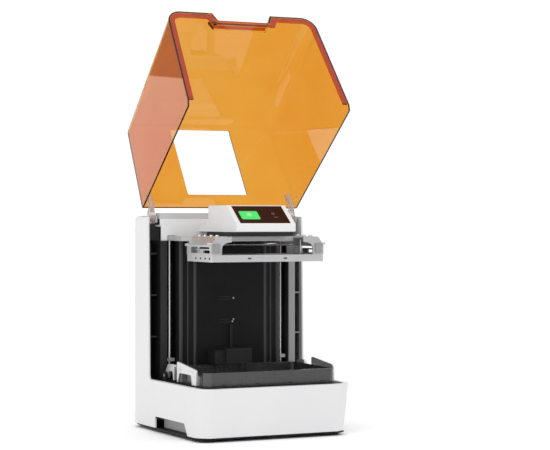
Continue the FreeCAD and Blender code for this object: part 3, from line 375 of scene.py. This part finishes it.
def tube_ring(radius, wire, centre, axis, count=48, sides=8):
    """Wire hoop: (radius + wire cos b)(cos a, sin a) across the axis, wire sin b along it."""
    right, up, out = frame_of(axis)
    a, b = np.meshgrid(np.arange(count) * 2 * math.pi / count,
                       np.arange(sides) * 2 * math.pi / sides, indexing="ij")
    reach = radius + wire * np.cos(b)
    points = ((reach * np.cos(a))[..., None] * right + (reach * np.sin(a))[..., None] * up
              + (wire * np.sin(b))[..., None] * out + np.array(centre, float))
    i, j = np.meshgrid(np.arange(count), np.arange(sides), indexing="ij")
    ni, nj = (i + 1) % count, (j + 1) % sides
    faces = np.stack([i * sides + j, ni * sides + j, ni * sides + nj, i * sides + nj], -1)
    return points.reshape(-1, 3) * MM, faces.reshape(-1, 4)


def rod(start, end, radius, count=12):
    """Round bar from start to end with chamfered ends."""
    start, end = np.array(start, float), np.array(end, float)
    long = np.linalg.norm(end - start)
    nose = min(radius * 0.3, long / 4)
    return stack([(ring(radius - nose, count), 0), (ring(radius, count), nose),
                  (ring(radius, count), long - nose), (ring(radius - nose, count), long)],
                 start, end - start)


GUARD_WIRE, GUARD_REACH = 0.7, 29.5
guard = [tube_ring(r, GUARD_WIRE, (fan_x, guard_y, fan_z), (0, 1, 0)) for r in (8, 14, 20, 26)]
guard += [rod((fan_x, guard_y - 0.4, fan_z),
              (fan_x + GUARD_REACH * math.cos(a), guard_y - 0.4,
               fan_z + GUARD_REACH * math.sin(a)), GUARD_WIRE)
          for a in np.radians([45, 135, 225, 315])]
piece("fan_guard", guard, screw_zinc, "machine")
piece("rear_screws",
      [pan_screw((x, rear_high[1] - 0.2, z), (0, 1, 0), 2.6)
       for x in (rear_low[0] + 7, rear_high[0] - 7) for z in (rear_low[2] + 7, rear_high[2] - 7)]
      + [pan_screw((fan_x + sx * 31, rear_high[1] - 0.2, fan_z + sz * 31), (0, 1, 0), 2)
         for sx in (-1, 1) for sz in (-1, 1)],
      steel_black, "machine")

# ---- Deck and exposure screen -------------------------------------------------------------
# Tempered black glass let into the deck, a rubber seal in a groove round the rim.
screen_glass = Finish("screen_black", (0.012, 0.012, 0.015), 0.06, Coat_Weight=0.6)
screen_glass.worn(0.05, 0.12, 30)
screen_glass.dress("screen_glass")
seal_rubber = Finish("seal_rubber", (0.035, 0.035, 0.036), 0.65)
seal_rubber.relief(seal_rubber.noise(1200), 0.00008)
seal_rubber.drift((0.035, 0.035, 0.036), (0.05, 0.05, 0.05), 80)
seal_rubber.dress("lid_seal")

# ---- Inner parts ------------------------------------------------------------------------------
# Light box, supply and motor in plated boxes, a solder-masked board, moulded black plastic
# for the sensor, console floor, inlet, rocker and fan, and three contacts in the inlet.
zinc_box = Finish("zinc_box", (0.55, 0.56, 0.56), 0.4, Metallic=0.9)
zinc_box.worn(0.3, 0.55, 80)
zinc_box.dress("light_box", "power_supply", "lift_motor")
board_green = Finish("board_green", (0.02, 0.17, 0.07), 0.4)
board_green.drift((0.02, 0.17, 0.07), (0.02, 0.11, 0.05), 250)
board_green.dress("main_board")
moulded_black = Finish("moulded_black", (0.016, 0.016, 0.0165), 0.5, Specular_IOR_Level=0.25)
moulded_black.drift((0.01, 0.01, 0.0103), (0.016, 0.016, 0.0163), 18)
moulded_black.worn(0.42, 0.58, 50)
moulded_black.relief(moulded_black.noise(1500, 2.0), 0.00007, rounding=0.0007)
moulded_black.dress("power_inlet", "power_rocker", "fan_rotor", "sensor_box", "console_floor",
                    "latch_mount_left", "latch_mount_right")
contact_brass = Finish("contact_brass", (0.7, 0.5, 0.2), 0.3, Metallic=1.0)
contact_brass.worn(0.22, 0.42, 600)
inlet_low, inlet_high = box_mm("power_inlet")
inlet_mid = (inlet_low + inlet_high) / 2
CONTACT_PITCH, CONTACT_LONG, SOCKET_DEEP = 7, 13.2, 17
piece("inlet_contacts",
      [slab(1.15, 3.15, 0.5, CONTACT_LONG,
            (inlet_mid[0] + step * CONTACT_PITCH, inlet_high[1] - SOCKET_DEEP, inlet_mid[2]),
            (0, 1, 0)) for step in (-1, 0, 1)],
      contact_brass, "machine")

# ---- Column: shafts, supports, screw ---------------------------------------------------------
# Ground hardened shafts, hanger bar and lead screw, with fine marks along their length, and
# blasted aluminium for the blocks that carry them and for the plate's brackets.
ground_steel = Finish("ground_steel", (0.66, 0.66, 0.66), 0.22, Metallic=1.0)
ground_steel.worn(0.16, 0.34, 400, (1, 1, 0.03))
ground_steel.dress("guide_shaft_left", "guide_shaft_right", "hanger_bar", "hanger_pin_left",
                   "hanger_pin_right", "lead_screw")
blasted = Finish("blasted_aluminium", (0.62, 0.62, 0.625), 0.42, Metallic=0.85)
blasted.drift((0.62, 0.62, 0.625), (0.57, 0.57, 0.58), 25)
blasted.worn(0.36, 0.52, 120)
blasted.relief(blasted.noise(1600, 3.0), 0.00005, rounding=0.0005)
blasted.dress("shaft_support_left", "shaft_support_right", "carriage", "yoke",
              "plate_bracket_left", "plate_bracket_right", "lamp_module")

# ---- Build plate -------------------------------------------------------------------------------
# Milled aluminium slab, sand-blasted, with a fine square net cut into its underside; its
# sockets in the front and ends are thin near-black sheets of painted shade.
plate_metal = Finish("plate_metal", (0.6, 0.6, 0.605), 0.45, Metallic=0.8)
plate_metal.drift((0.62, 0.62, 0.625), (0.56, 0.56, 0.57), 18)
plate_metal.worn(0.4, 0.55, 90)
plate_low, plate_high = box_mm("build_plate")
across, along, height = (plate_metal.node("SeparateXYZ", None, {0: plate_metal.place()}, k)
                         for k in range(3))
NET_TURNS, NET_SKIN = 2600, 0.3
net = (across * NET_TURNS).wave() * 0.5 + (along * NET_TURNS).wave() * 0.5
under = height < (plate_low[2] + NET_SKIN) * MM
plate_metal.relief(net * under * 3 + plate_metal.noise(1700), 0.00005, rounding=0.0006)
plate_metal.dress("build_plate")

# Painted shade: thin near-black sheets laid on the surface stand for the shade inside sockets and
# slots; their tone wanders a little at random.
painted_hole_shade = Finish("painted_hole_shade", (0.006, 0.006, 0.006), 0.8)
painted_hole_shade.drift((0.006, 0.006, 0.006), (0.012, 0.012, 0.012), 400)
plate_mid = (plate_low[2] + plate_high[2]) / 2
axis_y = (plate_low[1] + plate_high[1]) / 2
socket_shades = [slab(3.4, 1.3, 1.2, 0.12, (x, plate_low[1] - 0.02, plate_mid), (0, -1, 0), 0.03)
           for x in (-36, 34)]
socket_shades += [slab(3.1, 1.8, 1.75, 0.12, (side * (plate_high[0] + 0.02), axis_y + y, plate_mid),
                 (side, 0, 0), 0.03)
            for side in (-1, 1) for y in (-50, -30, -9, 13)]
piece("plate_socket_shades", socket_shades, painted_hole_shade, "platform")

# ---- Bracket details: clamp bars, screws, hatched thumb pads ------------------------------
# Inside each bracket's window a steel bar and block hold the plate; cap screws stand on the
# bracket's head, and the release levers have hatched pads.
bracket_high = box_mm("plate_bracket_right")[1]
UP = (0, 0, 1)
clamp_bars, bracket_screws = [], []
for side in (-1, 1):
    inner_x = side * (bracket_high[0] - 8)
    out = (side, 0, 0)
    clamp_bars.append(slab(38, 1.3, 0.5, 3, (inner_x, axis_y - 11, plate_high[2] + 9.4), out))
    clamp_bars.append(slab(14, 3.1, 0.8, 3, (inner_x, axis_y + 6, plate_high[2] + 5), out))
    clamp_bars += [rod((inner_x - side, axis_y + y, plate_high[2]),
                       (inner_x - side, axis_y + y, bracket_high[2] - 3.2), 2)
                   for y in (-44, 20)]
    bracket_screws += [cap_screw((side * 92, axis_y + y, bracket_high[2]), UP, 3.4, 3)
                       for y in (-40, -14, 14, 40)]
    bracket_screws += [cap_screw((side * 62, axis_y + y, bracket_high[2] - 0.1), UP, 2.2, 0.5)
                       for y in (-9, 9)]
piece("clamp_bars", clamp_bars, ground_steel, "platform")
piece("bracket_screws", bracket_screws, screw_zinc, "platform")
thumb_pad = Finish("thumb_pad", (0.36, 0.36, 0.365), 0.5, Metallic=0.3)
pad_x, pad_z = (thumb_pad.node("SeparateXYZ", None, {0: thumb_pad.place()}, k) for k in (0, 2))
HATCH_TURNS = 2 * math.pi / 0.0016
hatch = (((pad_x + pad_z) * HATCH_TURNS).wave() * 0.5
         + ((pad_x - pad_z) * HATCH_TURNS).wave() * 0.5)
thumb_pad.plug(thumb_pad.shader, "Base Color",
               thumb_pad.mix(hatch.ramp(-0.6, 0.6), (0.24, 0.24, 0.245), (0.48, 0.48, 0.485)))
thumb_pad.relief(hatch, 0.0004)
thumb_pad.dress("release_lever_left", "release_lever_right")

# ---- Column details: beads, rivets and cable slots on the back panel, liners ---------------
# Pressed beads stiffen the stepped sides of the back panel, their paler black a painted
# highlight; rivets fix it, and two pairs of slots, drawn as thin dark sheets of painted shade,
# with small screws hold the cable behind it.  The right liner's colour is painted shade: near
# black deep inside, paling to grey towards its front.
panel_low, panel_high = box_mm("back_panel")
PANEL_FLAT, PANEL_SLOPE, PANEL_STEP = 66, 14, 4
# Painted highlight: the beads are coloured several times paler than the black sheet, standing in
# for the light their rounded faces catch.
painted_highlight_black = Finish("painted_highlight_black", (0.026, 0.026, 0.027), 0.4)
painted_highlight_black.worn(0.34, 0.5, 60)


def bead(x, radius):
    """Upright bead half sunk in the sheet: y = front + step * min(1, (|x| - flat) / slope)."""
    y = panel_low[1] + PANEL_STEP * min(1, (abs(x) - PANEL_FLAT) / PANEL_SLOPE) + 0.8
    return rod((x, y, panel_low[2] + 1), (x, y, panel_high[2] - 1), radius, 20)


piece("panel_beads", [bead(side * x, r) for side in (-1, 1)
                      for x, r in ((71, 3.2), (84, 1.6), (98, 4.2))],
      painted_highlight_black, "machine")
piece("panel_rivets", [pan_screw((x, panel_low[1], z), (0, -1, 0), 1.7)
                       for x, z in ((-58, 330), (58, 330), (-58, 110), (58, 110))],
      steel_black, "machine")
piece("cable_slot_shades", [slab(11, 0.9, 0.8, 0.5, (-12, panel_low[1], z), (0, -1, 0), 0.1)
                      for z in (239, 244, 197, 202)], painted_hole_shade, "machine")
piece("clip_screws", [pan_screw((x, panel_low[1], z), (0, -1, 0), 1.5)
                      for x, z in ((6, 241.5), (6, 202), (4, 198))],
      screw_zinc, "machine")
liner = Finish("liner_painted_shade", (0.02, 0.02, 0.02), 0.45)
liner_low = box_mm("side_liner_right")[0]
liner_x, liner_y = (liner.node("SeparateXYZ", None, {0: liner.place()}, k) for k in (0, 1))
# Painted shade: on the right liner only, colour runs from near black deep inside to grey at its
# front edge, standing in for the shade deep in the upright; the left stays near black.
SHADE_FADE_LONG = 44
painted_shade_fade = liner_y.ramp((liner_low[1] + SHADE_FADE_LONG) * MM, liner_low[1] * MM) * (liner_x > 0)
liner.plug(liner.shader, "Base Color", liner.mix(painted_shade_fade, (0.008, 0.008, 0.0083), (0.26, 0.26, 0.265)))
liner.relief(liner.noise(1500, 2.0), 0.00006, rounding=0.0006)
liner.dress("side_liner_left", "side_liner_right")

# ---- Grey trim: strip over the beam, hinges -----------------------------------------------------
# Pale grey moulded strip and hinge brackets, and hinge arms of smoked see-through plastic.
strip_grey = Finish("strip_grey", (0.5, 0.5, 0.51), 0.45)
strip_grey.drift((0.5, 0.5, 0.51), (0.45, 0.45, 0.46), 15)
strip_grey.relief(strip_grey.noise(1500, 2.0), 0.00005, rounding=0.0006)
strip_grey.dress("hinge_cover", "hinge_bracket_left", "hinge_bracket_right")
smoked = Finish("smoked_plastic", (0.8, 0.7, 0.66), 0.25, Transmission_Weight=0.75)
smoked.drift((0.82, 0.72, 0.68), (0.74, 0.65, 0.62), 30)
smoked.worn(0.2, 0.34, 60)
smoked.dress("hinge_arm_left", "hinge_arm_right")

# ---- Vat -----------------------------------------------------------------------------------------
# Dark anodised casting with polished corners over a clear film in its frame, with silver
# side wings and latches, small slots along its front foot drawn as thin sheets of painted
# shade, and screws in the wings.
vat_metal = Finish("vat_metal", (0.11, 0.11, 0.112), 0.26, Metallic=0.85)
vat_metal.drift((0.112, 0.112, 0.114), (0.095, 0.095, 0.098), 15)
vat_metal.worn(0.2, 0.32, 60)
vat_metal.relief(vat_metal.noise(1400, 2.0), 0.00004, rounding=0.0008)
vat_metal.dress("resin_vat", "film_frame")
film = Finish("film_clear", (0.75, 0.76, 0.74), 0.15, Transmission_Weight=0.7)
film.worn(0.1, 0.24, 25)
film.dress("release_film")
silver_sheet = Finish("silver_sheet", (0.74, 0.74, 0.745), 0.34, Metallic=0.85)
silver_sheet.drift((0.76, 0.76, 0.765), (0.69, 0.69, 0.7), 20)
silver_sheet.worn(0.26, 0.46, 300, (1, 0.04, 1))
silver_sheet.relief(silver_sheet.noise(900, 2.0, (1, 0.05, 1)), 0.00004, rounding=0.0007)
silver_sheet.dress("vat_wing_left", "vat_wing_right", "vat_latch_left", "vat_latch_right")
vat_low = box_mm("resin_vat")[0]
piece("vat_slot_shades", [slab(4, 0.7, 0.6, 0.12, (x, vat_low[1] - 0.02, vat_low[2] + 2.2),
                         (0, -1, 0), 0.03)
                    for x in (-92, -29, 37, 100)], painted_hole_shade, "machine")
wing_low, wing_high = box_mm("vat_wing_right")
piece("wing_screws", [pan_screw((side * (wing_high[0] - 0.1), wing_low[1] + y, wing_low[2] + 24),
                                (side, 0, 0), 2.2)
                      for side in (-1, 1) for y in (16, 72)], screw_zinc, "machine")

# ---- Console display -----------------------------------------------------------------------------
# Dark red-brown glass on the console's slope, with a lit green tile that holds a ring, and
# two dim icons beside it.
display = Finish("display_dark", (0.022, 0.004, 0.004), 0.3, Specular_IOR_Level=0.12)
display.drift((0.024, 0.005, 0.005), (0.016, 0.003, 0.003), 12)
display.dress("display_glass")
glass_low, glass_high = box_mm("display_glass")
GLASS_THICK = 1.2
lean = math.atan2(glass_high[2] - glass_low[2], glass_high[1] - glass_low[1])
out_of_glass = np.array([0, -math.sin(lean), math.cos(lean)])
glass_foot = np.array([0, glass_low[1], glass_low[2] + GLASS_THICK * math.cos(lean)])


def on_glass(x, up_slope, lift=0.02):
    """The point x to the right and up_slope from the glass's lower edge, lift above it."""
    along_glass = np.array([x, up_slope * math.cos(lean), up_slope * math.sin(lean)])
    return glass_foot + along_glass + lift * out_of_glass


tile_green = Finish("tile_green", (0.03, 0.46, 0.09), 0.4, Emission_Strength=0.55)
tile_green.plug(tile_green.shader, "Emission Color",
                tile_green.mix(tile_green.noise(60), (0.02, 0.5, 0.09), (0.04, 0.42, 0.1)))
piece("display_tile", [slab(18.2, 12.2, 3, 0.12, on_glass(-23.5, 23.8), out_of_glass, 0.05)],
      tile_green, "machine")
icon_pale = Finish("icon_pale", (0.45, 0.62, 0.45), 0.5, Emission_Strength=0.25)
icon_pale.plug(icon_pale.shader, "Emission Color",
               icon_pale.mix(icon_pale.noise(200), (0.3, 0.6, 0.3), (0.4, 0.7, 0.4)))
icon_dim = Finish("icon_dim", (0.2, 0.13, 0.13), 0.5)
icon_dim.drift((0.2, 0.13, 0.13), (0.26, 0.17, 0.17), 300)
piece("tile_icon", [tube_ring(4.2, 0.45, on_glass(-23.5, 25.5, 0.1), out_of_glass, 32, 6),
                    slab(1.6, 1.6, 0.8, 0.3, on_glass(-23.5, 25.5, 0.1), out_of_glass, 0.05)],
      icon_pale, "machine")
piece("dim_icons", [tube_ring(2.6, 0.4, on_glass(24.6, 28.5, 0), out_of_glass, 24, 6),
                    slab(4, 0.6, 0.4, 0.15, on_glass(27, 18, 0), out_of_glass, 0.05)],
      icon_dim, "machine")

# ---- Lid -----------------------------------------------------------------------------------------
# Orange acrylic, formed and polished.  Its lower cut edge is darker: that edge is found by
# turning each point back about the hinge to where it lies on the closed lid.
HINGE = np.array(next(j["pos_m"] for j in frame["joints"] if j["name"] == "lid_hinge"))
LID_OPEN = math.radians(127.2)
LID_LOW = 0.0947
AMBER, DEEP_AMBER, RED_EDGE = (0.74, 0.345, 0.046), (0.73, 0.285, 0.028), (0.42, 0.03, 0.006)
EDGE_BAND = 0.0006
acrylic = Finish("amber_acrylic", AMBER, 0.02, Transmission_Weight=1.0, IOR=1.45)
sin_a, cos_a = math.sin(LID_OPEN), math.cos(LID_OPEN)
shift = (0, HINGE[1] - cos_a * HINGE[1] + sin_a * HINGE[2],
         HINGE[2] - sin_a * HINGE[1] - cos_a * HINGE[2])
shut = acrylic.node("Mapping", {"vector_type": "POINT"},
                    {0: acrylic.place(), 1: shift, 2: (LID_OPEN, 0, 0)})
shut_z = acrylic.node("SeparateXYZ", None, {0: shut}, 2)
edge = shut_z < LID_LOW + EDGE_BAND
tint = acrylic.mix(acrylic.noise(4).ramp(0.35, 0.65), AMBER, DEEP_AMBER)
acrylic.plug(acrylic.shader, "Base Color", acrylic.mix(edge, tint, RED_EDGE))
clear = acrylic.node("BsdfTransparent", None, {0: (0.97, 0.91, 0.84, 1)})
passing = (acrylic.node("LightPath", output="Is Shadow Ray")
           + acrylic.node("LightPath", output="Is Diffuse Ray"))
glossy = Socket(acrylic, acrylic.shader.outputs[0])
mixed = acrylic.node("MixShader", None, {0: passing, 1: glossy, 2: clear})
acrylic.plug(acrylic.tree.nodes["Material Output"], "Surface", mixed)
acrylic.dress("lid_shell", "lid_flange")
